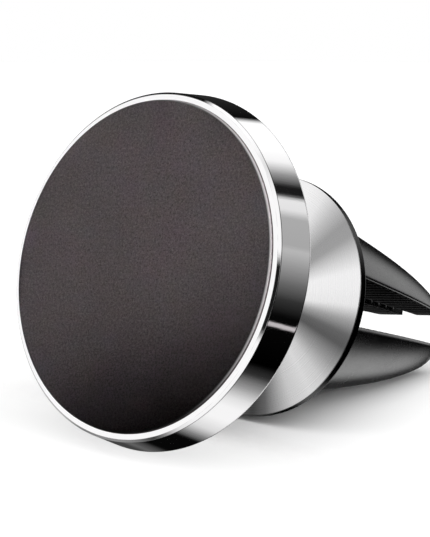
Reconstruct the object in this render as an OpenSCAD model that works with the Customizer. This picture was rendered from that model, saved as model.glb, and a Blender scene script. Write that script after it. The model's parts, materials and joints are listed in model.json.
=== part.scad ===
// Magnetic car phone mount for an air vent. All sizes are in millimetres.
// The long axis is Y: the phone face looks along -Y and the clip points along +Y.
// The origin is on that axis, in the plane where a vent louvre's edge stops in the slots.

/* [Head] */
// Diameter of the head at the rear edge of its side wall
head_d = 40; // [36:1:60]
// Radial flare of the side wall, from its front edge to its rear edge
head_flare = 0.7; // [0.2:0.1:1.5]
// Width of the polished bezel round the pad
bezel_w = 0.9; // [0.7:0.1:2]
// Chamfer on the bezel's outer edge
bezel_chamfer = 0.28; // [0.1:0.02:0.5]
// Thickness of the shell's back wall
back_wall = 1.25; // [1.1:0.05:2.5]
// Distance from the rear edge of the side wall to the back face
back_fall = 0.8; // [0.5:0.1:1.5]

/* [Pad] */
// Thickness of the soft face pad
pad_t = 1; // [0.8:0.1:2]
// Height of the pad above the bezel
pad_proud = 0.4; // [0.2:0.05:0.6]
// Radius on the pad's front edge
pad_round = 0.35; // [0.1:0.05:0.5]
// Gap between the pad and the bezel
pad_gap = 0.1; // [0.05:0.05:0.3]
// Thickness of the adhesive behind the pad
tape_t = 0.15; // [0.1:0.05:0.3]

/* [Magnets] */
// Number of disc magnets
magnet_count = 6; // [4:1:8]
// Diameter of a magnet
magnet_d = 9; // [6:0.5:9]
// Thickness of a magnet
magnet_t = 2; // [1.5:0.25:3]
// Diameter of the circle that the magnets stand on
magnet_circle_d = 24; // [22:0.5:24]
// Thickness of the tray's skin in front of the magnets
tray_skin = 0.5; // [0.4:0.1:1]
// Thickness of the steel yoke plate behind the magnets
yoke_t = 0.7; // [0.5:0.1:1.5]

/* [Ball joint] */
// Diameter of the ball
ball_d = 11; // [9:0.5:14]
// Diameter of the neck between the ball and the base disc
neck_d = 4.8; // [4:0.2:5.6]
// Free length of the neck, between the socket cap and the stud's shoulder
neck_free = 3.7; // [3.6:0.1:10]
// Thickness of the front cup that the ball turns in
cup_t = 0.8; // [0.6:0.1:1.5]
// Wall of the rear seat outside the ball's equator
seat_wall = 1.3; // [1:0.1:2]
// Wall of the socket housing outside the rear seat
housing_wall = 1.05; // [0.9:0.05:2]
// Wall of the socket cap outside its thread
cap_wall = 0.85; // [0.7:0.05:2]
// Thickness of the socket housing's flange
flange_t = 1.8; // [1.6:0.1:3]
// Largest swing of the head off its axis, with the pan and the tilt together
swing_angle = 29; // [20:1:30]
// Number of housing screws
screw_count = 3; // [3:1:4]

/* [Base] */
// Diameter of the base disc
disc_d = 28.5; // [26:0.5:40]
// Thickness of the base disc
disc_t = 1.15; // [1:0.05:3]
// Diameter of the stud's shank
shank_d = 4; // [3:0.1:5]
// Width of the stud nut across its flats
nut_flats = 7; // [6:0.5:7]
// Thickness of the stud nut
nut_t = 2.2; // [1.6:0.1:2.4]
// Thickness of the lock washer
washer_t = 0.5; // [0.4:0.1:0.8]
// Thickness of the hub's floor under the washer
hub_floor = 0.8; // [0.7:0.1:2]

/* [Clip] */
// Radius of the clip against the base disc
clip_root_r = 12; // [10:0.5:14]
// Length of the prongs, from the bottom of the slots to their tips
prong_length = 27; // [20:0.5:30]
// Radius that rounds the tips
tip_round = 2; // [2:0.25:3.5]
// Wide slot at its bottom
wide_gap_root = 5.8; // [5:0.1:6.5]
// Wide slot at the tips, between the grooves of its faces
wide_gap_tip = 3.8; // [3.6:0.1:5.5]
// Narrow slot at its bottom
narrow_gap_root = 2.6; // [2:0.1:3.5]
// Narrow slot at the tips, between the grooves of its faces
narrow_gap_tip = 2.2; // [1.8:0.1:3]
// Distance between the grip ribs
rib_pitch = 1.6; // [1.2:0.1:2.5]
// Height of the grip ribs
rib_h = 0.2; // [0.1:0.05:0.25]
// Widening of the slots at the tips, to lead a louvre in
lead_in = 0.8; // [0.4:0.1:1.2]
// Rubber over the outside of a prong's nylon leaf
leaf_cover = 2.4; // [2:0.1:3]
// Rubber between the nylon leaf and the slot faces
leaf_side = 1; // [0.7:0.1:1.2]
// Thickness of a nylon leaf at its root
leaf_t_root = 2.4; // [1.8:0.1:3]
// Thickness of a nylon leaf at its tip
leaf_t_tip = 1.2; // [1:0.1:1.6]

/* [Hidden] */

// Clearances
ball_gap = 0.1;        // round the ball, in its cup and seat
cup_gap = 0.1;         // between the front cup and the housing
seat_gap = 0.05;       // round the rear seat, which turns in the housing and cap
thread_gap = 0.02;     // between two pieces that screw together
tray_gap = 0.1;        // round the magnet tray
magnet_gap = 0.05;     // round a magnet in its pocket
yoke_gap = 0.3;        // round the yoke plate
screw_gap = 0.1;       // round a housing screw in the back wall
shank_gap = 0.05;      // round the stud's shank in the disc and hub
neck_clear = 0.2;      // between the neck and the socket's mouth at full swing
nut_gap = 0.1;         // round the nut in its recess
leaf_gap = 0.05;       // round a leaf in its pocket
cut = 0.5;             // how far a cutter runs past a face

// Ball socket, measured from the ball's centre
ball_r = ball_d / 2;
cup_in_r = ball_r + ball_gap;
cup_out_r = cup_in_r + cup_t;
cavity_r = cup_out_r + cup_gap;
cavity_floor = 0.75;   // the housing's wall in front of the cup
seat_out_r = cup_in_r + seat_wall;
bore_r = seat_out_r + seat_gap;
housing_r = bore_r + housing_wall;
cap_in_r = housing_r + thread_gap;
cap_out_r = cap_in_r + cap_wall;
cup_angle = 50;        // half angle that the front cup covers
seat_angle = 75;       // half angle, from the front, where the rear seat begins
seat_front = -cup_in_r * cos(seat_angle);
mouth_angle = asin(neck_d / 2 / cup_in_r) + swing_angle + 2.5;
seat_back = cup_in_r * cos(mouth_angle);   // rear face of the rear seat, clear of the neck
bore_front = seat_front - cup_gap;
housing_back = seat_back - 1.05;
cap_front = -0.8;
cap_lip = 1.2;         // thickness of the lip that holds the rear seat in
cap_back = seat_back + seat_gap + cap_lip;
cap_bevel = 1.4;

// Mouth radius that clears the neck at full swing, at a distance behind the ball's centre
function mouth_r(d) = (neck_d / 2 + d * sin(swing_angle)) / cos(swing_angle) + neck_clear;

// Stud and washer
shank_r = shank_d / 2;
shoulder_r = neck_d / 2 + 2.1;
shoulder_t = 0.9;
shoulder_flats = 7.6;
shank_end_y = -0.1;
washer_r = shank_r + 2;
disc_chamfer = 0.12;

// Stations along Y, from the louvre stop towards the phone
hub_t = hub_floor + washer_t + nut_t;
disc_back_y = -hub_t;
disc_front_y = disc_back_y - disc_t;
ball_y = disc_front_y - shoulder_t - neck_free - cap_back;
back_y = ball_y - cavity_r - cavity_floor;
floor_y = back_y - back_wall;
magnet_front_y = floor_y - yoke_t - magnet_t;
tray_front_y = magnet_front_y - tray_skin;
pad_back_y = tray_front_y - tape_t;
pad_front_y = pad_back_y - pad_t;
front_y = pad_front_y + pad_proud;
edge_y = back_y - back_fall;

// Head radii
head_r = head_d / 2;
bezel_r = head_r - head_flare;
recess_r = bezel_r - bezel_w;
pad_r = recess_r - pad_gap;

// Housing screws: M1.6, countersunk
screw_r = 0.8;
screw_head_r = 1.5;
screw_head_h = 0.8;
screw_length = back_wall + 1.3;
screw_hole_depth = 1.5;
screw_circle_r = cap_out_r + 1.4;
flange_r = screw_circle_r + 1.6;
drive_w = 0.3;
drive_l = 1.5;
drive_depth = 0.4;

// The clip's outer radius, falling from the disc to the tips as a full, slightly crowned taper
taper_run = 34.06;
taper_power = 0.8;
taper_fullness = 0.36;
function clip_r(y) =
    clip_root_r * pow(1 - pow((y + hub_t) / taper_run, taper_power), taper_fullness);
root_r = clip_r(0);
hub_r = root_r - leaf_cover + 0.3;
leaf_length = prong_length - 5;
rib_start = 2.4;
rib_base = 0.9;        // width of a rib where it stands on the slot's face
rib_crest = 0.3;       // width of a rib's top
rib_count = floor((prong_length - rib_start - lead_in - rib_base) / rib_pitch);
far = 20;              // beyond the clip's radius

turn_fn = 96;
steel = [0.62, 0.62, 0.64];
black = [0.09, 0.09, 0.1];

// A solid turned about the Y axis from points [radius, y]
module turned(points) {
    rotate([-90, 0, 0])
        rotate_extrude($fn = turn_fn)
            polygon(points);
}

// A plain disc or rod on the Y axis, from y0 to y1
module rod(r, y0, y1) {
    translate([0, y0, 0])
        rotate([-90, 0, 0])
            cylinder(r = r, h = y1 - y0, $fn = turn_fn);
}

module at_ball() {
    translate([0, ball_y, 0])
        children();
}

module around(count, radius) {
    for (i = [0 : count - 1])
        rotate([0, i * 360 / count, 0])
            translate([0, 0, radius])
                children();
}

// ---- head ----

module face_pad() {
    color([0.3, 0.28, 0.28])
        turned([[0, pad_front_y],
                [pad_r - pad_round, pad_front_y],
                for (a = [15 : 15 : 75])
                    [pad_r - pad_round * (1 - sin(a)), pad_front_y + pad_round * (1 - cos(a))],
                [pad_r, pad_front_y + pad_round],
                [pad_r, pad_back_y],
                [0, pad_back_y]]);
}

module pad_tape() {
    color([0.85, 0.8, 0.7])
        rod(pad_r - 0.5, pad_back_y, tray_front_y);
}

module head_shell() {
    color([0.8, 0.8, 0.82])
        difference() {
            turned([[0, floor_y],
                    [recess_r, floor_y],
                    [recess_r, front_y],
                    [bezel_r - bezel_chamfer, front_y],
                    [bezel_r, front_y + bezel_chamfer],
                    [head_r, edge_y],
                    [head_r - 0.5, edge_y + back_fall / 2],
                    [head_r - 3, back_y],
                    [0, back_y]]);
            around(screw_count, screw_circle_r) {
                rod(screw_r + screw_gap, floor_y - cut, back_y + cut);
                screw_head(screw_gap);
            }
        }
}

// The cone of a countersunk head, flush with the inner face of the back wall
module screw_head(gap) {
    translate([0, floor_y, 0])
        rotate([-90, 0, 0])
            cylinder(r1 = screw_head_r + gap, r2 = screw_r + gap, h = screw_head_h, $fn = turn_fn);
}

module magnet_tray() {
    color([0.2, 0.2, 0.22])
        difference() {
            rod(recess_r - tray_gap, tray_front_y, magnet_front_y + magnet_t);
            around(magnet_count, magnet_circle_d / 2)
                rod(magnet_d / 2 + magnet_gap, magnet_front_y, magnet_front_y + magnet_t + cut);
        }
}

module magnets() {
    color([0.7, 0.7, 0.72])
        around(magnet_count, magnet_circle_d / 2)
            rod(magnet_d / 2, magnet_front_y, magnet_front_y + magnet_t);
}

module yoke_plate() {
    color([0.55, 0.55, 0.58])
        rod(recess_r - yoke_gap, floor_y - yoke_t, floor_y);
}

// ---- ball joint ----

module socket_housing() {
    color([0.78, 0.78, 0.8])
        difference() {
            union() {
                rod(flange_r, back_y, back_y + flange_t);
                rod(cap_out_r, back_y, ball_y + cap_front);
                rod(housing_r, back_y, ball_y + housing_back);
            }
            at_ball()
                sphere(r = cavity_r, $fn = turn_fn);
            rod(bore_r, ball_y + bore_front, ball_y + housing_back + cut);
            around(screw_count, screw_circle_r)
                rod(screw_r + thread_gap, back_y - cut, back_y + screw_hole_depth);
        }
}

module housing_screws() {
    color(steel)
        around(screw_count, screw_circle_r)
            difference() {
                union() {
                    screw_head(0);
                    rod(screw_r, floor_y, floor_y + screw_length);
                }
                for (turn = [0, 90])
                    translate([0, floor_y, 0])
                        rotate([0, turn, 0])
                            cube([drive_l, 2 * drive_depth, drive_w], center = true);
            }
}

module socket_cap() {
    color([0.8, 0.8, 0.82])
        at_ball()
            turned([[cap_in_r, cap_front],
                    [cap_out_r, cap_front],
                    [cap_out_r, cap_back - cap_bevel],
                    [cap_out_r - cap_bevel, cap_back],
                    [mouth_r(cap_back), cap_back],
                    [mouth_r(cap_back), seat_back + seat_gap],
                    [cap_in_r, seat_back + seat_gap]]);
}

module front_cup() {
    color([0.9, 0.9, 0.88])
        at_ball()
            difference() {
                sphere(r = cup_out_r, $fn = turn_fn);
                sphere(r = cup_in_r, $fn = turn_fn);
                rod(far, -cup_in_r * cos(cup_angle), far);
            }
}

module rear_seat() {
    color([0.9, 0.9, 0.88])
        at_ball()
            rotate([-90, 0, 0])
                rotate_extrude($fn = turn_fn)
                    difference() {
                        translate([0, seat_front])
                            square([seat_out_r, seat_back - seat_front]);
                        circle(r = cup_in_r, $fn = turn_fn);
                    }
}

module ball_stud() {
    color([0.75, 0.75, 0.77])
        union() {
            at_ball()
                sphere(r = ball_r, $fn = turn_fn);
            rod(neck_d / 2, ball_y, disc_front_y);
            intersection() {
                rod(shoulder_r, disc_front_y - shoulder_t, disc_front_y);
                translate([-far, disc_front_y - shoulder_t, -shoulder_flats / 2])
                    cube([2 * far, shoulder_t, shoulder_flats]);
            }
            rod(shank_r, disc_front_y - shoulder_t, shank_end_y);
        }
}

// ---- base ----

module base_disc() {
    color([0.85, 0.85, 0.86])
        turned([[shank_r + shank_gap, disc_front_y],
                [disc_d / 2 - disc_chamfer, disc_front_y],
                [disc_d / 2, disc_front_y + disc_chamfer],
                [disc_d / 2, disc_back_y - disc_chamfer],
                [disc_d / 2 - disc_chamfer, disc_back_y],
                [shank_r + shank_gap, disc_back_y]]);
}

module clip_flange() {
    color(black)
        turned([[hub_r, disc_back_y],
                for (i = [0 : 3])
                    [clip_r(disc_back_y * (1 - i / 3)), disc_back_y * (1 - i / 3)],
                [hub_r, 0]]);
}

module hex_recess(flats, y0, y1) {
    translate([0, y0, 0])
        rotate([-90, 0, 0])
            cylinder(r = flats / sqrt(3), h = y1 - y0, $fn = 6);
}

module clip_hub() {
    color([0.14, 0.14, 0.15])
        difference() {
            rod(hub_r, disc_back_y, 0);
            rod(shank_r + shank_gap, disc_back_y - cut, 0);
            rod(washer_r + nut_gap, disc_back_y + hub_floor, -nut_t);
            hex_recess(nut_flats + 2 * nut_gap, -nut_t, cut);
        }
}

module lock_washer() {
    color(steel)
        turned([[shank_r + shank_gap, disc_back_y + hub_floor],
                [washer_r, disc_back_y + hub_floor],
                [washer_r, -nut_t],
                [shank_r + shank_gap, -nut_t]]);
}

module stud_nut() {
    color(steel)
        difference() {
            hex_recess(nut_flats, -nut_t, 0);
            rod(shank_r + thread_gap, -nut_t - cut, cut);
        }
}

// ---- clip prongs ----

// Half the slot's width at y, for a slot that narrows from root_gap to tip_gap
function half_gap(y, root_gap, tip_gap) =
    (root_gap + (tip_gap - root_gap) * y / prong_length) / 2;

// Points [y, half width] along a ribbed slot face, from the slot's bottom to the tips
function slot_face(root_gap, tip_gap) = [
    [0, half_gap(0, root_gap, tip_gap)],
    for (i = [0 : rib_count - 1],
         p = [[0, 0], [(rib_base - rib_crest) / 2, rib_h],
              [(rib_base + rib_crest) / 2, rib_h], [rib_base, 0]])
        let (y = rib_start + i * rib_pitch + p[0])
            [y, half_gap(y, root_gap, tip_gap) - p[1]],
    [prong_length - lead_in, half_gap(prong_length - lead_in, root_gap, tip_gap)],
    [prong_length, half_gap(prong_length, root_gap, tip_gap) + lead_in]];

// The quarter of space above both slots, from slot face outlines [y, half width]
module quarter(wide_face, narrow_face, length) {
    intersection() {
        rotate([90, 0, 90])
            linear_extrude(height = far)
                polygon(concat(wide_face, [[length, far], [0, far]]));
        linear_extrude(height = far)
            polygon(concat([for (p = narrow_face) [p[1], p[0]]], [[far, length], [far, 0]]));
    }
}

// Outer outline of the prongs, as points [radius, y], rounded at the tips
function prong_outline() =
    let (round_y = prong_length - tip_round, steps = 8, lean = 15)
    [[0, 0],
     for (i = [0 : steps]) [clip_r(round_y * i / steps), round_y * i / steps],
     for (a = [lean : 15 : 90])
         [clip_r(round_y) - tip_round * (cos(lean) - cos(a)) * 1.03,
          round_y + tip_round * (sin(a) - sin(lean)) / (1 - sin(lean))],
     [0, prong_length]];

module leaf_solid(gap) {
    tip_y = leaf_length + gap;
    side = leaf_side - gap;
    root_out = root_r - leaf_cover + gap;
    tip_out = clip_r(leaf_length) - leaf_cover * 0.8 + gap;
    function plain_face(root_gap, tip_gap) =
        [for (y = [0, tip_y]) [y, half_gap(y, root_gap, tip_gap) + side]];
    intersection() {
        turned([[root_out - leaf_t_root - 2 * gap, 0],
                [root_out, 0],
                [tip_out, tip_y],
                [tip_out - leaf_t_tip - 2 * gap, tip_y]]);
        quarter(plain_face(wide_gap_root, wide_gap_tip),
                plain_face(narrow_gap_root, narrow_gap_tip), tip_y);
    }
}

module jaw_solid() {
    difference() {
        intersection() {
            turned(prong_outline());
            quarter(slot_face(wide_gap_root, wide_gap_tip),
                    slot_face(narrow_gap_root, narrow_gap_tip), prong_length);
        }
        leaf_solid(leaf_gap);
    }
}

// Carries the upper right piece to another corner
module corner(left, lower) {
    mirror([left ? 1 : 0, 0, 0])
        mirror([0, 0, lower ? 1 : 0])
            children();
}

module jaw(left, lower) {
    color(black)
        corner(left, lower)
            jaw_solid();
}

module leaf(left, lower) {
    color([0.2, 0.2, 0.22])
        corner(left, lower)
            leaf_solid(0);
}

module jaw_upper_right() { jaw(false, false); }
module jaw_upper_left() { jaw(true, false); }
module jaw_lower_right() { jaw(false, true); }
module jaw_lower_left() { jaw(true, true); }
module leaf_upper_right() { leaf(false, false); }
module leaf_upper_left() { leaf(true, false); }
module leaf_lower_right() { leaf(false, true); }
module leaf_lower_left() { leaf(true, true); }

face_pad();
pad_tape();
head_shell();
magnet_tray();
magnets();
yoke_plate();
socket_housing();
housing_screws();
socket_cap();
front_cup();
rear_seat();
ball_stud();
base_disc();
clip_flange();
clip_hub();
lock_washer();
stud_nut();
jaw_upper_right();
jaw_upper_left();
jaw_lower_right();
jaw_lower_left();
leaf_upper_right();
leaf_upper_left();
leaf_lower_right();
leaf_lower_left();
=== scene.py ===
import json
import math

import bpy
import numpy as np
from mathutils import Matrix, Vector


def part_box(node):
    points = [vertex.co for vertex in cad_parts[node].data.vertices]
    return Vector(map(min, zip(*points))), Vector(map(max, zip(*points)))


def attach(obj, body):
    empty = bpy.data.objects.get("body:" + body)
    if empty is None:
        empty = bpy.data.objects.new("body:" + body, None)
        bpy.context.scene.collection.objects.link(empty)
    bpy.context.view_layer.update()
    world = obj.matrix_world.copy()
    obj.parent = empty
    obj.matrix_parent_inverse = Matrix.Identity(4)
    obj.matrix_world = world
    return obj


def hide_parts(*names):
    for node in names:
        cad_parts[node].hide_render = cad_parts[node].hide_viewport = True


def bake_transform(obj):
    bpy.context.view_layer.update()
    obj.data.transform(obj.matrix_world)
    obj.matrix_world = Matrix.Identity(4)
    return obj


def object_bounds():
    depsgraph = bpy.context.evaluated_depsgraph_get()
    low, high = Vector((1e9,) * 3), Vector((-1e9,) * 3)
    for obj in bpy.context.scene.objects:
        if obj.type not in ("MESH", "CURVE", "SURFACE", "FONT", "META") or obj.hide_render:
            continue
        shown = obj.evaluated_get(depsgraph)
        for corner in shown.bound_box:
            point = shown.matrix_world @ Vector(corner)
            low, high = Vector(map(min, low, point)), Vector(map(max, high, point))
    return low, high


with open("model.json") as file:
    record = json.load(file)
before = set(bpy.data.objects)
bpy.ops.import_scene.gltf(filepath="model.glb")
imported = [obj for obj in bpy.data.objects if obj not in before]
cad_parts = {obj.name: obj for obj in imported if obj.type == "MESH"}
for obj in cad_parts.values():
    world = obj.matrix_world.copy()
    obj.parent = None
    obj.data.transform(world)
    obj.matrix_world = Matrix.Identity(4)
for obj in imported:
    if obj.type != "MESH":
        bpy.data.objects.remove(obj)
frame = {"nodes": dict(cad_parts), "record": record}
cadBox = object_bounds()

mm = 0.001                 # the surfaces and settings are in millimetres, and meshes in metres
axisR = 0.4                # a turned piece's end is open to this radius, and a fan closes it
nodes = frame["nodes"]
scene = bpy.context.scene
corners = ["upper_right", "upper_left", "lower_right", "lower_left"]


def nodeSpan(node):
    # a node's greatest radius about the mount's axis, and its two ends along it, in millimetres
    low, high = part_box(node)
    return max(high.x, -low.x) / mm, low.y / mm, high.y / mm


cameraPlace = {
    "rightOfAxis": 138.6,      # from the middle of the bezel's front plane, in millimetres
    "inFront": 149.2,
    "belowAxis": 24.5,
    "forward": (-0.64568, 0.75382, 0.12186),
    "up": (0.0, -0.15959, 0.98718),
    "lens": 126.2,
}
shellR, shellFrontY, shellBackY = nodeSpan("head_shell")


def makeCamera(place):
    camera = bpy.data.objects.new("camera", bpy.data.cameras.new("camera"))
    scene.collection.objects.link(camera)
    camera.data.lens = place["lens"]
    camera.data.sensor_width = 36.0
    camera.data.clip_start = 0.01
    camera.data.clip_end = 10.0
    forward = np.array(place["forward"])
    right = np.cross(forward, np.array(place["up"]))
    right /= np.linalg.norm(right)
    up = np.cross(right, forward)
    spot = np.array([place["rightOfAxis"], shellFrontY - place["inFront"], -place["belowAxis"]]) * mm
    matrix = np.eye(4)
    matrix[:3, 0], matrix[:3, 1], matrix[:3, 2], matrix[:3, 3] = right, up, -forward, spot
    camera.matrix_world = matrix.T.tolist()     # Blender takes a matrix's columns as its rows here
    scene.camera = camera


makeCamera(cameraPlace)
print("camera placed")


def addNode(tree, kind, inputs=None, **settings):
    node = tree.nodes.new(kind)
    for key, value in settings.items():
        setattr(node, key, value)
    for key, value in (inputs or {}).items():
        if isinstance(value, bpy.types.NodeSocket):
            tree.links.new(value, node.inputs[key])
        else:
            node.inputs[key].default_value = value
    return node


def mathNode(tree, operation, a, b=0.0, c=0.0, clamp=False):
    return addNode(tree, "ShaderNodeMath", {0: a, 1: b, 2: c}, operation=operation,
                   use_clamp=clamp).outputs[0]


def mapped(tree, value, low, high, toLow, toHigh, ease="LINEAR"):
    return addNode(tree, "ShaderNodeMapRange", {"Value": value, "From Min": low, "From Max": high,
                                                "To Min": toLow, "To Max": toHigh},
                   interpolation_type=ease).outputs["Result"]


def stepBetween(tree, value, low, high, toLow=0.0, toHigh=1.0):
    # eases from toLow to toHigh as value goes from low to high
    return mapped(tree, value, low, high, toLow, toHigh, "SMOOTHSTEP")


def grey(shade):
    return (shade, shade, shade, 1.0)


def partsOf(tree, vector):
    return addNode(tree, "ShaderNodeSeparateXYZ", {0: vector}).outputs


def mixColor(tree, factor, a, b, blend="MIX"):
    node = addNode(tree, "ShaderNodeMix", data_type="RGBA", blend_type=blend)
    for socket, value in ((node.inputs[0], factor), (node.inputs[6], a), (node.inputs[7], b)):
        if isinstance(value, bpy.types.NodeSocket):
            tree.links.new(value, socket)
        else:
            socket.default_value = value
    return node.outputs[2]


def rampNode(tree, value, stops):
    # stops are (position from 0 to 1, grey or colour)
    node = addNode(tree, "ShaderNodeValToRGB", {"Fac": value})
    ramp = node.color_ramp
    while len(ramp.elements) < len(stops):
        ramp.elements.new(0.5)
    for element, (place, shade) in zip(ramp.elements, sorted(stops)):
        element.position = place
        element.color = (*shade, 1.0) if isinstance(shade, tuple) else grey(shade)
    return node.outputs["Color"]


def rampByTurn(tree, angle, stops):
    # a ramp over a whole turn, from -180 to 180 degrees
    share = mathNode(tree, "DIVIDE", mathNode(tree, "ADD", angle, 180.0), 360.0)
    return rampNode(tree, share, [((turn + 180) / 360, shade) for turn, shade in stops])


def placeFacing(thing, back, spot=(0.0, 0.0, 0.0)):
    # puts a lamp at the spot, in millimetres, so that it shines away from the back direction
    back = np.array(back) / np.linalg.norm(back)
    side = np.cross([0.0, 1.0, 0.0], back)
    side = side / np.linalg.norm(side) if np.linalg.norm(side) > 1e-6 else np.array([1.0, 0.0, 0.0])
    matrix = np.eye(4)
    matrix[:3, 0], matrix[:3, 1], matrix[:3, 2] = side, np.cross(back, side), back
    matrix[:3, 3] = np.array(spot) * mm
    thing.matrix_world = matrix.T.tolist()


# The reflections come from strips of light and black flags that run round the mount's axis.
# Each stop is an angle in degrees from the right side, counted upwards, and a brightness.
studio = {
    "strips": [(-180, 0.38), (-158, 0.38), (-150, 0.10), (-140, 0.002), (-117, 0.002), (-111, 0.22),
               (-103, 0.68), (-92, 0.90), (-82, 0.90), (-75, 0.74), (-66, 0.30), (-57, 0.03),
               (-50, 0.0), (-19, 0.002), (-10, 0.03), (-1, 0.13), (9, 0.30), (18, 0.47),
               (21, 0.38), (37, 0.40), (42, 0.75), (48, 0.78), (51, 0.01), (57, 0.01),
               (65, 0.30), (74, 0.90), (83, 1.0), (107, 1.0), (112, 0.003), (146, 0.020), (162, 0.040),
               (180, 0.38)],
    "thinLine": {"angle": -24.9, "halfWidth": 1.9, "shade": (0.50, 0.47, 0.48)},
    # nearer to the direction in which the clip points it is dark, with soft lamps,
    # each a direction, a radius in degrees and a brightness
    "rearLamps": [((-0.09, 0.905, -0.415), 12.0, 1.35), ((0.10, 0.93, 0.34), 17.0, 0.95)],
    # two more, for the slot's faces
    "slotLamps": [((-0.646, 0.754, -0.14), 13.0, 0.05), ((-0.646, 0.169, -0.747), 20.0, 0.25)],
    "rearEdge": (40.5, 43.0),
    "rearFlag": {"direction": (-0.57, 0.81, 0.12), "radius": 16.0, "core": 0.6, "shade": 0.0},
    "frontEdge": (104.0, 122.0),
    "frontShade": 0.93,
    "lensFlag": {"direction": (0.646, -0.754, -0.12), "radius": 24.0, "core": 0.7, "shade": 0.01},
    "strength": 1.08,
    "ambient": 0.010,
    "backdrop": 1.0,
}


def degreesFrom(tree, direction, towards):
    towards = np.array(towards) / np.linalg.norm(towards)
    cosine = addNode(tree, "ShaderNodeVectorMath", {0: direction, 1: towards.tolist()},
                     operation="DOT_PRODUCT").outputs["Value"]
    return mathNode(tree, "DEGREES", mathNode(tree, "ARCCOSINE", cosine))


def makeWorld(look):
    world = bpy.data.worlds.new("studio")
    scene.world = world
    world.use_nodes = True
    world.cycles.sampling_method = "NONE"
    tree = world.node_tree
    tree.nodes.clear()
    direction = addNode(tree, "ShaderNodeTexCoord").outputs["Generated"]
    x, y, z = partsOf(tree, direction)
    around = mathNode(tree, "DEGREES", mathNode(tree, "ARCTAN2", z, x))
    fromRear = mathNode(tree, "DEGREES", mathNode(tree, "ARCCOSINE", y))
    strips = rampByTurn(tree, around, look["strips"])
    line = look["thinLine"]
    offLine = mathNode(tree, "ABSOLUTE", mathNode(tree, "SUBTRACT", around, line["angle"]))
    onLine = stepBetween(tree, offLine, line["halfWidth"], line["halfWidth"] * 0.3)
    strips = mixColor(tree, onLine, strips, (*line["shade"], 1.0))

    def addLamps(under, lamps):
        for towards, radius, shade in lamps:
            near = stepBetween(tree, degreesFrom(tree, direction, towards), radius * 1.5, radius * 0.5)
            under = mixColor(tree, near, under, grey(shade))
        return under

    rear = addLamps(grey(0.0), look["rearLamps"])
    sides = mixColor(tree, stepBetween(tree, fromRear, *look["rearEdge"]), rear, strips)

    def addFlag(under, flag):
        away = degreesFrom(tree, direction, flag["direction"])
        clear = stepBetween(tree, away, flag["radius"] * flag["core"], flag["radius"])
        return mixColor(tree, clear, grey(flag["shade"]), under)

    sides = addLamps(addFlag(sides, look["rearFlag"]), look["slotLamps"])
    front = addFlag(grey(look["frontShade"]), look["lensFlag"])
    pattern = mixColor(tree, stepBetween(tree, fromRear, *look["frontEdge"]), sides, front)
    path = addNode(tree, "ShaderNodeLightPath")
    lit = mixColor(tree, path.outputs["Is Glossy Ray"], grey(look["ambient"]), pattern)
    seen = mixColor(tree, path.outputs["Is Camera Ray"], lit, grey(look["backdrop"]))
    strength = mathNode(tree, "MULTIPLY_ADD", path.outputs["Is Glossy Ray"], look["strength"] - 1, 1.0)
    background = addNode(tree, "ShaderNodeBackground", {"Color": seen, "Strength": strength})
    output = addNode(tree, "ShaderNodeOutputWorld")
    tree.links.new(background.outputs[0], output.inputs["Surface"])


makeWorld(studio)
scene.view_settings.view_transform = "Standard"
scene.view_settings.look = "None"

floorLook = {
    "normal": (0.115, -0.292, 0.949),   # touches the head's rim, the base disc and the prongs' tips
    "drop": 20.5,                       # from the middle of the bezel's front plane, in millimetres
    "radius": 600.0, "sides": 64,
    "albedo": 0.9,
    "light": 5.8,
    "lightAngle": 100.0,
    "lightLean": (0.62, -0.70, -0.29),    # from straight above the floor
    # from the second depth forward the floor thins, and from the first on it is only a veil,
    # so that a tilted head shows through it
    "veil": (-15.0, -7.0), "veilOpacity": 0.32,
}


def makeFloor(look):
    normal = np.array(look["normal"])
    normal /= np.linalg.norm(normal)
    across = np.cross(normal, [0.0, 1.0, 0.0])
    across /= np.linalg.norm(across)
    along = np.cross(normal, across)
    middle = np.array([0.0, shellFrontY, 0.0]) - look["drop"] * normal
    # a flat round sheet: middle + radius (across cos turn + along sin turn)
    turn = np.linspace(0, 2 * np.pi, look["sides"], endpoint=False)
    ring = middle + look["radius"] * (np.cos(turn)[:, None] * across + np.sin(turn)[:, None] * along)
    mesh = bpy.data.meshes.new("floor")
    mesh.from_pydata((ring * mm).tolist(), [], [list(range(look["sides"]))])
    floor = bpy.data.objects.new("floor", mesh)
    scene.collection.objects.link(floor)
    floor.visible_glossy = False
    floor.visible_diffuse = False
    material = bpy.data.materials.new("whiteFloor")
    material.use_nodes = True
    tree = material.node_tree
    tree.nodes.clear()
    white = addNode(tree, "ShaderNodeBsdfDiffuse", {"Color": grey(look["albedo"])})
    clear = addNode(tree, "ShaderNodeBsdfTransparent")
    depth = partsOf(tree, addNode(tree, "ShaderNodeTexCoord").outputs["Object"])[1]
    near, far = look["veil"]
    opacity = stepBetween(tree, depth, near * mm, far * mm, look["veilOpacity"], 1.0)
    facing = addNode(tree, "ShaderNodeNewGeometry").outputs["Backfacing"]
    opacity = mathNode(tree, "MULTIPLY", opacity, mathNode(tree, "SUBTRACT", 1.0, facing))
    mixed = addNode(tree, "ShaderNodeMixShader", {0: opacity, 1: clear.outputs[0], 2: white.outputs[0]})
    output = addNode(tree, "ShaderNodeOutputMaterial")
    tree.links.new(mixed.outputs[0], output.inputs["Surface"])
    mesh.materials.append(material)
    # the floor has a light of its own, which lights nothing else
    sun = bpy.data.objects.new("floorLight", bpy.data.lights.new("floorLight", "SUN"))
    scene.collection.objects.link(sun)
    sun.data.energy = look["light"]
    sun.data.angle = math.radians(look["lightAngle"])
    placeFacing(sun, normal + np.array(look["lightLean"]))
    lit = bpy.data.collections.new("litByFloorLight")
    lit.objects.link(floor)
    sun.light_linking.receiver_collection = lit
    return floor


floor = makeFloor(floorLook)

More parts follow.
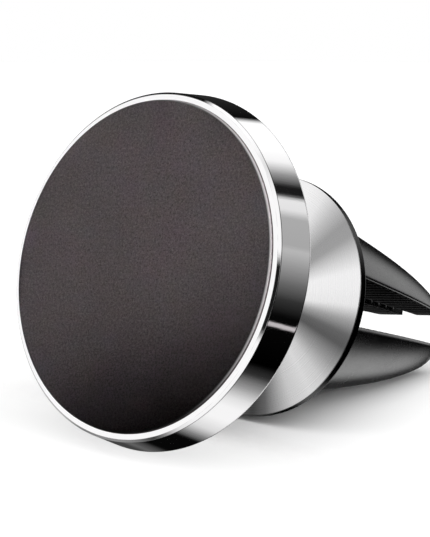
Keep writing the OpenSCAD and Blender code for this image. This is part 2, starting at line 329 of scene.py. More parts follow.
lampLook = {
    # soft-edged spots on the pad, square on to it: the edge of the first falls across the lower right
    "padSpot": {"aim": (-18.4, 60.0), "distance": 300.0, "radius": 80.0, "blend": 0.29, "size": 6.0,
                "energy": 1.28},
    "padGlow": {"aim": (12.8, 1.4), "distance": 300.0, "radius": 14.3, "blend": 0.8, "size": 6.0,
                "energy": 0.14},
}


def makeLamps(look):
    onlyModel = bpy.data.collections.new("litByLamps")      # everything but the floor
    onlyModel.objects.link(floor)
    onlyModel.collection_objects[0].light_linking.link_state = "EXCLUDE"
    for name, spot in look.items():
        lamp = bpy.data.objects.new(name, bpy.data.lights.new(name, "SPOT"))
        scene.collection.objects.link(lamp)
        lamp.data.energy = spot["energy"]
        lamp.data.spot_size = 2 * math.atan(spot["radius"] / spot["distance"])
        lamp.data.spot_blend = spot["blend"]
        lamp.data.shadow_soft_size = spot["size"] * mm
        lamp.visible_glossy = False
        lamp.visible_camera = False
        lamp.light_linking.receiver_collection = onlyModel
        placeFacing(lamp, (0.0, -1.0, 0.0), (spot["aim"][0], shellFrontY - spot["distance"], spot["aim"][1]))


makeLamps(lampLook)
print("studio lit")


def gridMesh(name, rows, wear, closedRows=False):
    # rows is a grid of points (row, column, xyz) in millimetres; the columns run round and close.
    # The rows close on themselves for a ring, and otherwise each end is closed by a fan to its middle.
    rowCount, columnCount = rows.shape[:2]
    points = rows.reshape(-1, 3)
    first = np.arange(rowCount if closedRows else rowCount - 1)[:, None]
    column = np.arange(columnCount)[None]
    after = (column + 1) % columnCount
    below = (first + 1) % rowCount
    quads = np.stack([first * columnCount + column, first * columnCount + after,
                      below * columnCount + after, below * columnCount + column], axis=-1).reshape(-1, 4)
    caps = np.zeros((0, 3), int)
    wear = np.broadcast_to(wear, rows.shape[:2]).reshape(-1)
    if not closedRows:
        start, end = len(points), len(points) + 1
        points = np.vstack([points, rows[0].mean(axis=0), rows[-1].mean(axis=0)])
        wear = np.append(wear, [0.0, 0.0])
        last = (rowCount - 1) * columnCount
        ring = np.arange(columnCount)
        nextRing = (ring + 1) % columnCount
        caps = np.vstack([np.stack([np.full(columnCount, start), nextRing, ring], axis=-1),
                          np.stack([np.full(columnCount, end), last + ring, last + nextRing], axis=-1)])
    triangles = np.vstack([quads[:, [0, 1, 2]], quads[:, [0, 2, 3]], caps])
    a, b, c = (points[triangles[:, k]] for k in range(3))
    if np.einsum("ij,ij->", a, np.cross(b, c)) < 0:      # the faces point inwards, so turn them round
        quads, caps = quads[:, ::-1], caps[:, ::-1]
    mesh = bpy.data.meshes.new(name)
    mesh.from_pydata((points * mm).tolist(), [], quads.tolist() + caps.tolist())
    mesh.shade_smooth()
    mesh.attributes.new("wear", "FLOAT", "POINT").data.foreach_set("value", wear.astype(np.float32))
    piece = bpy.data.objects.new(name, mesh)
    scene.collection.objects.link(piece)
    return piece


def roundedProfile(corners, steps=6, closed=False):
    # corners are (radius, y, fillet); each fillet is an arc that touches both sides of its corner.
    # Gives the profile's points, and an edge mask for each: 1 on a fillet and 0 on a flat, which marks worn
    # edges, and on the pad a painted highlight.
    corners = np.array(corners, float)
    points, wear = [], []
    count = len(corners)
    for k, (radius, y, fillet) in enumerate(corners):
        corner = corners[k, :2]
        if fillet == 0 or (not closed and k in (0, count - 1)):
            points.append(corner[None])
            wear.append([0.0])
            continue
        before = corners[k - 1, :2] - corner
        after = corners[(k + 1) % count, :2] - corner
        before /= np.linalg.norm(before)
        after /= np.linalg.norm(after)
        half = math.acos(np.clip(before @ after, -1, 1)) / 2
        reach = fillet / math.tan(half)
        middle = corner + (before + after) / np.linalg.norm(before + after) * fillet / math.sin(half)
        start, end = corner + before * reach, corner + after * reach
        sweep = math.pi - 2 * half
        t = np.linspace(0, 1, steps + 1)[:, None]
        blend = np.sin((1 - t) * sweep) * (start - middle) + np.sin(t * sweep) * (end - middle)
        arc = middle + blend / math.sin(sweep)
        hold = fillet * 0.15          # rings beside the arc keep the flats flat
        points.append(np.vstack([start + before * hold, arc, end + after * hold]))
        wear.append([0.0, *[1.0] * (steps + 1), 0.0])
    return np.vstack(points), np.concatenate(wear)


def turned(name, corners, columns=360, steps=6, closed=False, shape=None):
    # a profile turned about the Y axis: (radius cos turn, y, radius sin turn),
    # where shape may change the radius by the angle round the axis
    profile, wear = roundedProfile(corners, steps, closed)
    turn = np.linspace(0, 2 * np.pi, columns, endpoint=False)[None]
    radius = np.repeat(profile[:, :1], columns, axis=1)
    y = np.repeat(profile[:, 1:], columns, axis=1)
    if shape is not None:
        radius = shape(radius, y, turn)
    rows = np.stack([radius * np.cos(turn), y, radius * np.sin(turn)], axis=-1)
    return gridMesh(name, rows, wear[:, None], closed)


padR, padFrontY, padBackY = nodeSpan("face_pad")
yokeBackY = nodeSpan("yoke_plate")[2]
padSettings = {"edgeRound": 0.2, "backRound": 0.05, "spread": 0.07}    # pressed on, the pad spreads a little
shellSettings = {"flare": 0.7, "bezelWidth": 0.9, "chamfer": 0.28, "rearFall": 0.8, "rearSlope": 3.0,
                 "frontFillet": 0.06, "rearFillet": 0.35, "shoulder": 0.5}


def makeFacePad(size):
    # a flat disc whose front edge is a quarter round
    edgeR = padR + size["spread"]
    corners = [(axisR, padFrontY, 0), (edgeR * 0.5, padFrontY, 0), (edgeR, padFrontY, size["edgeRound"]),
               (edgeR, padBackY, size["backRound"]), (axisR, padBackY, 0)]
    piece = turned("facePad", corners, columns=400, steps=8)
    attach(piece, "head")
    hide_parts("face_pad")
    return piece


def makeHeadShell(size):
    # a dish: the side wall is a cone that widens backwards, with a flat bezel round a sunk floor
    bezelR = shellR - size["flare"]
    recessR = bezelR - size["bezelWidth"]
    edgeY = shellBackY - size["rearFall"]
    fine = size["frontFillet"]
    corners = [(axisR, yokeBackY, 0),
               (recessR, yokeBackY, 0.05),
               (recessR, shellFrontY, fine),
               (bezelR - size["chamfer"], shellFrontY, fine),
               (bezelR, shellFrontY + size["chamfer"], fine),
               (shellR, edgeY, size["rearFillet"]),
               (shellR - size["shoulder"], edgeY + size["rearFall"] / 2, 0.3),
               (shellR - size["rearSlope"], shellBackY, 1.0),
               (axisR, shellBackY, 0)]
    piece = turned("headShell", corners, columns=512)
    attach(piece, "head")
    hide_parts("head_shell")
    return piece


padEdgeLook = {"from": (0.9, 0.13, 0.42), "energy": 16.0, "angle": 10.0}


def lightPadEdge(pad, look):
    # a grazing light from the right catches only the pad's rounded edge
    lamp = bpy.data.objects.new("padEdgeLight", bpy.data.lights.new("padEdgeLight", "SUN"))
    scene.collection.objects.link(lamp)
    lamp.data.energy = look["energy"]
    lamp.data.angle = math.radians(look["angle"])
    lamp.visible_glossy = False
    onlyPad = bpy.data.collections.new("litByEdgeLight")
    onlyPad.objects.link(pad)
    lamp.light_linking.receiver_collection = onlyPad
    placeFacing(lamp, look["from"])


facePad = makeFacePad(padSettings)
lightPadEdge(facePad, padEdgeLook)
headShell = makeHeadShell(shellSettings)
print("head made")

flangeR, housingFrontY, housingBackY = nodeSpan("socket_housing")
capR, capFrontY, capBackY = nodeSpan("socket_cap")
seatR, seatFrontY, seatBackY = nodeSpan("rear_seat")
ballR, ballFrontY, studBackY = nodeSpan("ball_stud")
ballY = ballFrontY + ballR
discR, discFrontY, discBackY = nodeSpan("base_disc")
housingSettings = {"flangeThickness": 1.8, "wall": 1.05, "clearance": 0.05, "cavityRadius": 6.5,
                   "footFillet": 0.8}
capSettings = {"wall": 0.85, "clearance": 0.05, "bevel": 1.4, "mouthRadius": 5.0, "grooves": 72,
               "grooveDepth": 0.16}
studSettings = {"neck": 2.4, "shoulder": 4.5, "shoulderThickness": 0.9, "halfFlats": 3.8, "shank": 2.0,
                "endRadius": 0.3}


def makeSocketHousing(size):
    # a flanged cup, whose hollow is a bore that ends in part of a sphere round the ball's centre
    boreR = seatR + size["clearance"]
    threadR = boreR + size["wall"]
    flangeBackY = housingFrontY + size["flangeThickness"]
    angles = np.radians(np.linspace(8, 78, 12))
    dome = [(size["cavityRadius"] * math.sin(a), ballY - size["cavityRadius"] * math.cos(a), 0)
            for a in angles]
    corners = [(axisR, housingFrontY, 0),
               (flangeR, housingFrontY, 0.15),
               (flangeR, flangeBackY, 0.35),
               (capR, flangeBackY, size["footFillet"]),
               (capR, capFrontY, 0.12),
               (threadR, capFrontY, 0.05),
               (threadR, housingBackY, 0.1),
               (boreR, housingBackY, 0.1),
               (boreR, seatFrontY - 0.1, 0.05),
               *reversed(dome)]
    piece = turned("socketHousing", corners, columns=320)
    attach(piece, "head")
    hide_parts("socket_housing")
    return piece


def makeSocketCap(size):
    # a threaded ring with a lip: radius = cap radius - depth |cos(half the grooves x turn)| cubed
    innerR = capR - size["wall"]
    lipY = seatBackY + size["clearance"]
    bandFrontY, bandBackY = capFrontY + 0.5, capBackY - size["bevel"] - 0.25
    band = [(capR, y, 0) for y in np.linspace(bandFrontY, bandBackY, 15)]
    corners = [(innerR, capFrontY, 0.05), (capR, capFrontY, 0.12), *band,
               (capR, capBackY - size["bevel"], 0.2), (capR - size["bevel"], capBackY, 0.15),
               (size["mouthRadius"], capBackY, 0.2), (size["mouthRadius"], lipY, 0.1), (innerR, lipY, 0.05)]

    def knurl(radius, y, turn):
        # round-bottomed grooves along the axis, which run out smoothly at both ends of the band
        along = np.clip((y - bandFrontY) / (bandBackY - bandFrontY), 0, 1)
        window = np.clip(np.sin(np.pi * along) * 3, 0, 1) * (radius > capR - 0.01)
        groove = np.abs(np.cos(size["grooves"] / 2 * turn)) ** 3
        return radius - size["grooveDepth"] * groove * window

    piece = turned("socketCap", corners, columns=size["grooves"] * 10, steps=4, closed=True, shape=knurl)
    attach(piece, "head")
    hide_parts("socket_cap")
    return piece


def makeBallStud(size):
    # a sphere (radius sin a, centre - radius cos a), then a neck, a shoulder and a shank
    neckAngle = math.asin(size["neck"] / ballR)
    angles = np.linspace(math.radians(3), math.pi - neckAngle - 0.06, 48)
    ball = [(ballR * math.sin(a), ballY - ballR * math.cos(a), 0) for a in angles]
    shoulderY = discFrontY - size["shoulderThickness"]
    corners = [*ball,
               (size["neck"], ballY + ballR * math.cos(neckAngle) + 0.15, 0.12),
               (size["neck"], shoulderY, 0.35),
               (size["shoulder"], shoulderY, 0.12),
               (size["shoulder"], discFrontY, 0.05),
               (size["shank"], discFrontY, 0.05),
               (size["shank"], studBackY, 0.25),
               (size["endRadius"], studBackY, 0)]

    def spannerFlats(radius, y, turn):
        # the shoulder is cut by two flats, above and below the axis
        flats = size["halfFlats"] / np.maximum(np.abs(np.sin(turn)), 0.01)
        cut = (radius ** -24.0 + flats ** -24.0) ** (-1 / 24)
        return np.where(y > shoulderY - 0.3, cut, radius)

    piece = turned("ballStud", corners, columns=240, shape=spannerFlats)
    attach(piece, "base")
    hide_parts("ball_stud")
    return piece


socketHousing = makeSocketHousing(housingSettings)
socketCap = makeSocketCap(capSettings)
ballStud = makeBallStud(studSettings)
print("ball joint made")

flangeOuterR = nodeSpan("clip_flange")[0]
hubR = nodeSpan("clip_hub")[0]
discSettings = {"hole": 2.05, "frontFillet": 0.1, "backFillet": 0.14}
taper = {"root": flangeOuterR, "run": 34.06, "power": 0.8, "fullness": 0.36}


def clipRadius(y):
    # root radius x (1 - along ^ power) ^ fullness: full at the disc, then falling towards the prongs' tips
    along = np.clip((np.asarray(y, float) - discBackY) / taper["run"], 0, 1)
    return taper["root"] * (1 - along ** taper["power"]) ** taper["fullness"]


def makeBaseDisc(size):
    # a flat disc with a hole for the shank, and rounded edges
    corners = [(size["hole"], discFrontY, 0.1), (discR, discFrontY, size["frontFillet"]),
               (discR, discBackY, size["backFillet"]), (size["hole"], discBackY, 0.1)]
    piece = turned("baseDisc", corners, columns=480, closed=True)
    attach(piece, "base")
    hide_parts("base_disc")
    return piece


def makeClipFlange():
    # a collar round the hub, from the disc to the slots' bottom, whose outside is the clip's radius
    levels = np.linspace(discBackY + 0.15, -0.02, 12)
    outer = [(float(clipRadius(y)), float(y), 0) for y in levels]
    corners = [(hubR, discBackY, 0.02), (float(clipRadius(discBackY + 0.1)), discBackY, 0.1), *outer,
               (float(clipRadius(0.0)) - 0.05, 0.0, 0), (hubR, 0.0, 0.02)]
    piece = turned("clipFlange", corners, columns=360, closed=True)
    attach(piece, "base")
    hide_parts("clip_flange")
    return piece


baseDisc = makeBaseDisc(discSettings)
clipFlange = makeClipFlange()
print("base made")

prongSettings = {
    "length": cadBox[1].y / mm,
    "tipRound": 2.0,
    "wideGap": (5.8, 3.8),        # between the upper and lower prongs, at the slot's bottom and at the tips
    "narrowGap": (2.6, 2.2),
    "ribs": 14, "ribStart": 2.4, "ribPitch": 1.6, "ribBase": 0.9, "ribCrest": 0.3, "ribHeight": 0.09,
    "leadIn": 0.8,
    "ribInset": (0.3, 0.9),        # the ribs rise between these distances from the slot's outer edge
    "bevel": 0.32,                 # along the two outer edges of the slots
    "sharpness": 60,               # the power that rounds the section's corners
    "rootDepth": 0.5,              # how far the root goes into the flange
    "rootInset": 0.06,             # and how much slimmer it is there
    "tipLean": 15.0,               # the slope in degrees at which the outside meets the tip's round
    "rayStart": 0.42,              # where the rays start, as a share of the way from the slots' corner
    "archSteps": 64, "faceSteps": 32,
}


def slotHalf(y, gaps, size):
    # half a slot's width, with its lead-in at the tip and without its ribs
    plain = (gaps[0] + (gaps[1] - gaps[0]) * np.clip(y, 0, None) / size["length"]) / 2
    return plain + np.clip(y - (size["length"] - size["leadIn"]), 0, None)


def ribHeight(y, size):
    # a row of ribs, each a flat crest between two slopes
    along = y - size["ribStart"]
    index = np.floor(along / size["ribPitch"])
    within = along - index * size["ribPitch"]
    slope = (size["ribBase"] - size["ribCrest"]) / 2
    height = np.clip(np.minimum(within, size["ribBase"] - within) / slope, 0, 1) * size["ribHeight"]
    return np.where((index >= 0) & (index < size["ribs"]), height, 0)


def prongRadius(y, size):
    # the clip's outer radius, and at the tips: start radius - round (cos lean - cos of the slope)
    lean = math.radians(size["tipLean"])
    start = size["length"] - size["tipRound"]
    rise = np.clip((y - start) / size["tipRound"], 0, 1)
    sine = np.sin(lean) + rise * (1 - np.sin(lean))
    cosine = np.sqrt(1 - np.clip(sine, 0, 1) ** 2)
    rounded = clipRadius(start) - size["tipRound"] * 1.03 * (np.cos(lean) - cosine)
    return np.where(y > start, rounded, clipRadius(np.clip(y, 0, None)))


def makeProng(corner, size):
    # a quarter of the clip: at each level its section is a corner between two slot faces and a circle
    side, height = (1 if "right" in corner else -1), (1 if "upper" in corner else -1)
    name = "prong" + "".join(word.capitalize() for word in corner.split("_"))
    pitch, base, crest = size["ribPitch"], size["ribBase"], size["ribCrest"]
    slope = (base - crest) / 2
    within = np.array([-0.06, 0, 0.04, slope / 2, slope - 0.04, slope, slope + 0.05, slope + crest - 0.05,
                       slope + crest, slope + crest + 0.04, base - slope / 2, base - 0.04, base, base + 0.06])
    ribLevels = size["ribStart"] + (np.arange(size["ribs"])[:, None] * pitch + within[None]).ravel()
    tipLevels = size["length"] - size["tipRound"] * (1 - np.sin(np.radians(np.arange(0, 90, 4.5))))
    levels = np.concatenate([[-size["rootDepth"], -0.05, 0.0], np.linspace(0.3, 2.2, 6), ribLevels, tipLevels,
                             [size["length"] - 0.02, size["length"]],
                             size["length"] - size["leadIn"] + np.array([-0.03, 0.03])])
    y = np.unique(np.round(levels, 3))[:, None]
    outer = prongRadius(y, size) - size["rootInset"] * (y < 0.0)
    wide, narrow = slotHalf(y, size["wideGap"], size), slotHalf(y, size["narrowGap"], size)
    # where the outer circle meets the two slot faces, and an inner point that every ray starts from
    lowTurn, highTurn = np.arcsin(wide / outer), np.arccos(narrow / outer)
    midTurn = (lowTurn + highTurn) / 2
    inner = np.stack([narrow + size["rayStart"] * (outer * np.cos(midTurn) - narrow),
                      wide + size["rayStart"] * (outer * np.sin(midTurn) - wide)], axis=-1)
    edgeA = np.stack([outer * np.cos(lowTurn), wide], axis=-1)
    edgeB = np.stack([narrow, outer * np.sin(highTurn)], axis=-1)
    edgeC = np.stack([narrow, wide], axis=-1)
    turnA, turnB, turnC = (np.arctan2(edge[..., 1] - inner[..., 1], edge[..., 0] - inner[..., 0])
                           for edge in (edgeA, edgeB, edgeC))
    turnC = np.where(turnC < turnB, turnC + 2 * np.pi, turnC)

    def spread(start, end, steps):
        # the rays stand closer together near the corners
        t = np.linspace(0, 1, steps, endpoint=False)[None]
        return start + (end - start) * (t - 0.92 * np.sin(2 * np.pi * t) / (2 * np.pi))

    ray = np.hstack([spread(turnA, turnB, size["archSteps"]), spread(turnB, turnC, size["faceSteps"]),
                     spread(turnC, turnA + 2 * np.pi, size["faceSteps"])])
    direction = np.stack([np.cos(ray), np.sin(ray)], axis=-1)
    # a ray's length is the smooth least of its distances to the circle, the slot faces and the bevels:
    # 1 / length = (the sum of 1 / distance ^ sharpness) ^ (1 / sharpness)
    along = np.einsum("rck,rck->rc", direction, np.broadcast_to(inner, direction.shape))
    toCircle = -along + np.sqrt(along ** 2 + outer ** 2 - (inner ** 2).sum(axis=-1))
    inverses = [1 / toCircle]
    planes = [((0.0, -1.0), edgeC, 0.0), ((-1.0, 0.0), edgeC, 0.0)]
    room = np.clip((outer - np.hypot(narrow, wide)) / 4, 0.03, 1)
    for edge, face in ((edgeA, np.array([0.0, -1.0])), (edgeB, np.array([-1.0, 0.0]))):
        lean = edge / np.linalg.norm(edge, axis=-1, keepdims=True) + face
        planes.append((lean / np.linalg.norm(lean, axis=-1, keepdims=True), edge, size["bevel"] * 0.7 * room))
    for normal, edge, cut in planes:
        normal = np.broadcast_to(np.asarray(normal, float), edge.shape)
        gap = ((edge - inner) * normal).sum(axis=-1) - cut
        facing = (direction * normal).sum(axis=-1)
        inverses.append(np.clip(facing, 1e-6, None) / gap)
    inverses = np.stack(inverses)
    greatest = inverses.max(axis=0)
    powers = (inverses / greatest) ** size["sharpness"]
    total = greatest * powers.sum(axis=0) ** (1 / size["sharpness"])
    section = inner + direction / total[..., None]
    # ribs stand on the slot faces, and die away before the faces' edges
    share = powers[1:3] / powers.sum(axis=0)
    near, full = size["ribInset"]
    for axis, slotFace, far, close in ((1, share[0], edgeA[..., 0], narrow),
                                       (0, share[1], edgeB[..., 1], wide)):
        across = section[..., 1 - axis]
        window = np.clip((far - across - near) / (full - near), 0, 1)
        window *= np.clip((across - close - 0.1) / 0.4, 0, 1)
        section[..., axis] -= ribHeight(y, size) * slotFace * window
    wear = np.clip((total / greatest - 1) / (2 ** (1 / size["sharpness"]) - 1), 0, 1) ** 2 * (y > 0.1)
    rows = np.stack([side * section[..., 0], np.broadcast_to(y, ray.shape), height * section[..., 1]],
                    axis=-1)
    piece = gridMesh(name, rows, wear)
    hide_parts("jaw_" + corner)
    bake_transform(piece)
    return piece


prongs = [makeProng(corner, prongSettings) for corner in corners]
print("prongs made")


def startFinish(name, metallic=0.0, **constants):
    # a material with its surface shader; constants are set on the shader's own sockets
    material = bpy.data.materials.new(name)
    material.use_nodes = True
    tree = material.node_tree
    surface = tree.nodes["Principled BSDF"]
    surface.inputs["Metallic"].default_value = metallic
    for key, value in constants.items():
        surface.inputs[key.replace("_", " ")].default_value = value
    place = addNode(tree, "ShaderNodeTexCoord").outputs["Object"]
    wear = addNode(tree, "ShaderNodeAttribute", attribute_name="wear").outputs["Fac"]
    return material, tree, surface, place, wear


def grain(tree, place, size, detail=2.0, roughness=0.5):
    # noise whose lumps are about size millimetres across
    return addNode(tree, "ShaderNodeTexNoise", {"Vector": place, "Scale": 1000 / size, "Detail": detail,
                                                "Roughness": roughness}).outputs["Fac"]


def bump(tree, surface, height, depth, strength=1.0):
    # depth is in millimetres
    node = addNode(tree, "ShaderNodeBump", {"Height": height, "Distance": depth * mm, "Strength": strength})
    tree.links.new(node.outputs[0], surface.inputs["Normal"])


def setInput(tree, surface, key, value):
    tree.links.new(value, surface.inputs[key])


padFinish = {
    # the edge tone is a painted highlight on the pad's rounded edge, lighter than the face, which also stands
    # for a worn edge
    "dark": (0.058, 0.049, 0.0515), "light": (0.160, 0.135, 0.142), "edge": (0.125, 0.120, 0.122),
    "grain": 0.30, "speck": 0.16, "grainDepth": 0.012, "roughness": (0.50, 0.68),
}


def makePadFinish(look):
    material, tree, surface, place, wear = startFinish("softTouchPad", Specular_IOR_Level=0.0)
    coarse = grain(tree, place, look["grain"], 3.0, 0.7)
    specks = grain(tree, place, look["speck"], 1.0)
    both = mathNode(tree, "MULTIPLY_ADD", specks, 0.45, mathNode(tree, "MULTIPLY", coarse, 0.55))
    tone = rampNode(tree, both, [(0.36, look["dark"]), (0.64, look["light"])])
    cloud = grain(tree, place, 5.0, 2.0)
    tone = mixColor(tree, mapped(tree, cloud, 0.3, 0.7, 0.0, 0.04), tone, (0.06, 0.052, 0.055, 1.0))
    # the rounded edge is painted lighter and made smoother: a painted highlight, partly a worn edge
    setInput(tree, surface, "Base Color", mixColor(tree, wear, tone, (*look["edge"], 1.0)))
    rough = mapped(tree, coarse, 0.3, 0.7, *look["roughness"])
    smoothed = mathNode(tree, "SUBTRACT", rough, mathNode(tree, "MULTIPLY", wear, 0.15))
    setInput(tree, surface, "Roughness", smoothed)
    bump(tree, surface, both, look["grainDepth"])
    return material


chromeFinish = {
    "color": (0.94, 0.935, 0.94), "wornColor": (0.80, 0.79, 0.80),
    "roughness": 0.035, "smudge": 0.035, "wornRoughness": 0.12, "scratchDepth": 0.0008,
    # a painted reflection: a dark line painted round the rounded corner just behind the bezel's chamfer
    "seam": (0.34, 0.05),             # how far behind the bezel's front, and half its width
    "paintedEdgeLineColor": (0.06, 0.06, 0.06),
    "satin": 0.26,        # added behind the head, where the plating is left as spun
}


def makeChromeFinish(look):
    material, tree, surface, place, wear = startFinish("mirrorChrome", metallic=1.0)
    patches = grain(tree, place, 6.0, 4.0, 0.6)
    patchy = mapped(tree, grain(tree, place, 1.2, 3.0), 0.42, 0.62, 0.0, 1.0)
    worn = mathNode(tree, "MULTIPLY", wear, patchy, clamp=True)
    plated = mixColor(tree, worn, (*look["color"], 1.0), (*look["wornColor"], 1.0))
    depth = partsOf(tree, place)[1]
    # paints the dark line behind the bezel's chamfer, a painted reflection
    edgeLineDepth, halfWidth = look["seam"]
    offEdgeLine = mathNode(tree, "ABSOLUTE", mathNode(tree, "SUBTRACT", depth, (shellFrontY + edgeLineDepth) * mm))
    seam = stepBetween(tree, offEdgeLine, halfWidth * mm, halfWidth * 0.5 * mm)
    setInput(tree, surface, "Base Color", mixColor(tree, seam, plated, (*look["paintedEdgeLineColor"], 1.0)))
    smudged = mapped(tree, patches, 0.45, 0.75, look["roughness"], look["roughness"] + look["smudge"])
    rough = mathNode(tree, "MULTIPLY_ADD", worn, look["wornRoughness"], smudged)
    edgeY = shellBackY - shellSettings["rearFall"]
    behind = stepBetween(tree, depth, (edgeY + 0.15) * mm, (edgeY + 0.4) * mm)
    setInput(tree, surface, "Roughness", mathNode(tree, "MULTIPLY_ADD", behind, look["satin"], rough))
    fine = addNode(tree, "ShaderNodeMapping", {"Vector": place, "Scale": (1.0, 0.06, 1.0)}).outputs[0]
    bump(tree, surface, grain(tree, fine, 0.18, 2.0), look["scratchDepth"])
    return material


turnedFinish = {
    "color": (0.93, 0.925, 0.93), "roughness": 0.30, "anisotropy": 0.85,
    "lineWidth": 0.11, "lineDepth": 0.0012,
    # painted reflection: how bright the turned face is painted, in wedges of light and dark, by the angle in
    # degrees round the axis from the right
    "fans": [(-180, 1.0), (-150, 0.35), (-125, 0.9), (-106, 0.15), (-88, 0.04), (-80, 0.12), (-75, 0.27),
             (-64, 0.63), (-52, 0.78), (-44, 0.68), (-35, 0.36), (-25, 0.10), (-19, 0.14), (-12, 0.42),
             (-5, 0.95), (4, 1.0), (12, 1.0), (20, 0.72), (29, 0.38), (37, 0.36), (46, 0.58), (56, 0.88),
             (66, 1.0), (88, 1.0), (130, 0.4), (180, 1.0)],
    "rimColor": (0.012, 0.012, 0.013), "rimPolish": 0.18,
    "rimFrom": 0.16,        # the rim is blacked behind this depth
}


def radiusAndTurn(tree, place):
    parts = partsOf(tree, place)
    flat = addNode(tree, "ShaderNodeCombineXYZ", {0: parts[0], 2: parts[2]}).outputs[0]
    radius = addNode(tree, "ShaderNodeVectorMath", {0: flat}, operation="LENGTH").outputs["Value"]
    angle = mathNode(tree, "DEGREES", mathNode(tree, "ARCTAN2", parts[2], parts[0]))
    return radius, angle


def awayFromAxis(tree, place):
    # across a lathe's tool marks, which run round the Y axis
    outward = addNode(tree, "ShaderNodeVectorMath", {0: place, 1: (1.0, 0.0, 1.0)},
                      operation="MULTIPLY").outputs[0]
    turnedOut = addNode(tree, "ShaderNodeVectorTransform", {0: outward}, vector_type="VECTOR",
                        convert_from="OBJECT", convert_to="WORLD").outputs[0]
    return addNode(tree, "ShaderNodeVectorMath", {0: turnedOut}, operation="NORMALIZE").outputs[0]


def makeTurnedFinish(look):
    material, tree, surface, place, wear = startFinish("turnedSteel", metallic=1.0,
                                                       Anisotropic=look["anisotropy"])
    radius, angle = radiusAndTurn(tree, place)
    # painted reflection: the wedges of light and dark are painted into the face's colour by angle
    fans = rampByTurn(tree, angle, look["fans"])
    lines = addNode(tree, "ShaderNodeTexNoise", {"W": radius, "Scale": 1000 / look["lineWidth"],
                                                 "Detail": 3.0}, noise_dimensions="1D").outputs["Fac"]
    tone = mixColor(tree, 1.0, fans, (*look["color"], 1.0), "MULTIPLY")
    lined = mixColor(tree, mapped(tree, lines, 0.35, 0.65, 0.0, 0.06), tone, (0.4, 0.4, 0.41, 1.0))
    depth = partsOf(tree, place)[1]
    edgeY = (discFrontY + look["rimFrom"]) * mm
    rim = stepBetween(tree, depth, edgeY - 0.02 * mm, edgeY + 0.02 * mm)
    setInput(tree, surface, "Base Color", mixColor(tree, rim, lined, (*look["rimColor"], 1.0)))
    setInput(tree, surface, "Metallic", mathNode(tree, "SUBTRACT", 1.0, rim))
    rough = mapped(tree, lines, 0.3, 0.7, look["roughness"] * 0.85, look["roughness"] * 1.15)
    setInput(tree, surface, "Roughness", mathNode(tree, "MULTIPLY_ADD", rim, -look["rimPolish"], rough))
    setInput(tree, surface, "Tangent", awayFromAxis(tree, place))
    bump(tree, surface, lines, look["lineDepth"])
    return material


rubberFinish = {"dark": (0.016, 0.016, 0.017), "worn": (0.05, 0.05, 0.052), "roughness": (0.20, 0.27),
                "grain": 0.25, "grainDepth": 0.006}


def makeRubberFinish(look):
    material, tree, surface, place, wear = startFinish("blackRubber", Specular_IOR_Level=0.6)
    fine = grain(tree, place, look["grain"], 4.0, 0.6)
    patches = grain(tree, place, 5.0, 3.0)
    worn = mathNode(tree, "MULTIPLY", wear, mapped(tree, fine, 0.4, 0.6, 0.3, 1.0))
    tone = mixColor(tree, worn, (*look["dark"], 1.0), (*look["worn"], 1.0))
    setInput(tree, surface, "Base Color", tone)
    rough = mathNode(tree, "MULTIPLY_ADD", mathNode(tree, "SUBTRACT", patches, 0.5), 0.12,
                     mapped(tree, fine, 0.35, 0.65, *look["roughness"]))
    setInput(tree, surface, "Roughness", rough)
    bump(tree, surface, fine, look["grainDepth"])
    return material


def makePlainFinish(name, dark, light, roughness, size, depth, metallic=0.0, **constants):
    # a mottled finish: two tones, a range of roughness, and grain of the given size and depth
    material, tree, surface, place, wear = startFinish(name, metallic, **constants)
    fine = grain(tree, place, size, 4.0, 0.6)
    patches = grain(tree, place, size * 9, 3.0)
    mixed = mathNode(tree, "MULTIPLY_ADD", patches, 0.5, mathNode(tree, "MULTIPLY", fine, 0.5))
    setInput(tree, surface, "Base Color", rampNode(tree, mixed, [(0.4, dark), (0.6, light)]))
    rough = mapped(tree, mixed, 0.4, 0.6, *roughness)
    smoothed = mathNode(tree, "SUBTRACT", rough, mathNode(tree, "MULTIPLY", wear, 0.08), clamp=True)
    setInput(tree, surface, "Roughness", smoothed)
    bump(tree, surface, fine, depth)
    return material


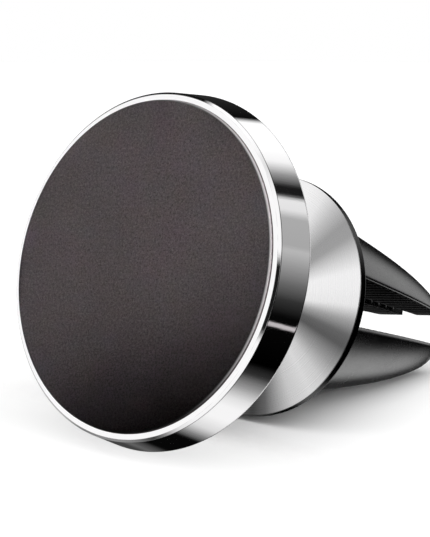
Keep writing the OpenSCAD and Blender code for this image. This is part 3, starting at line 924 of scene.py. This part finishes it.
# each is a name, a dark and a light tone, the roughness, the grain's size and depth,
# and the constants of its shader
plainLooks = {
    "black_nylon": ("blackNylon", (0.018, 0.018, 0.02), (0.03, 0.03, 0.032), (0.42, 0.6), 0.3, 0.008, {}),
    "tray_plastic": ("trayPlastic", (0.03, 0.03, 0.033), (0.045, 0.045, 0.048), (0.4, 0.55), 0.4, 0.006, {}),
    "bearing_plastic": ("bearingPlastic", (0.78, 0.77, 0.73), (0.86, 0.85, 0.81), (0.3, 0.42), 0.3, 0.003,
                        {"Subsurface_Weight": 0.05}),
    "polished_steel": ("polishedSteel", (0.66, 0.65, 0.64), (0.74, 0.73, 0.72), (0.1, 0.2), 0.4, 0.001,
                       {"metallic": 1.0}),
    "zinc_steel": ("zincSteel", (0.52, 0.53, 0.55), (0.66, 0.66, 0.67), (0.25, 0.42), 0.5, 0.004,
                   {"metallic": 1.0}),
    "magnet_plating": ("magnetPlating", (0.62, 0.61, 0.59), (0.70, 0.69, 0.67), (0.14, 0.24), 0.5, 0.002,
                       {"metallic": 1.0}),
    "adhesive": ("adhesiveTape", (0.62, 0.55, 0.42), (0.72, 0.66, 0.53), (0.35, 0.5), 0.5, 0.01, {}),
}
finishes = {
    "pad": makePadFinish(padFinish),
    "mirror_chrome": makeChromeFinish(chromeFinish),
    "turned_metal": makeTurnedFinish(turnedFinish),
    "black_rubber": makeRubberFinish(rubberFinish),
}
for slot, (*look, constants) in plainLooks.items():
    finishes[slot] = makePlainFinish(*look, **constants)
for piece, finish in [(facePad, "pad"), (headShell, "mirror_chrome"), (socketHousing, "mirror_chrome"),
                      (socketCap, "mirror_chrome"), (ballStud, "polished_steel"), (baseDisc, "turned_metal"),
                      (clipFlange, "black_rubber"), *[(prong, "black_rubber") for prong in prongs]]:
    piece.data.materials.append(finishes[finish])
inFrontOfDisc = ["pad_tape", "magnet_tray", "magnets", "yoke_plate", "housing_screws", "front_cup",
                 "rear_seat"]
for piece in (facePad, headShell, socketHousing, socketCap, ballStud,
              *[nodes[name] for name in inFrontOfDisc]):
    piece.visible_glossy = False      # the disc then mirrors the studio, not the dark back of the head
for subpart in frame["record"]["subparts"]:
    node = nodes.get(subpart.get("node"))
    if node is not None and subpart.get("material_slot") in finishes:
        node.data.materials.clear()
        node.data.materials.append(finishes[subpart["material_slot"]])
print("finishes made")
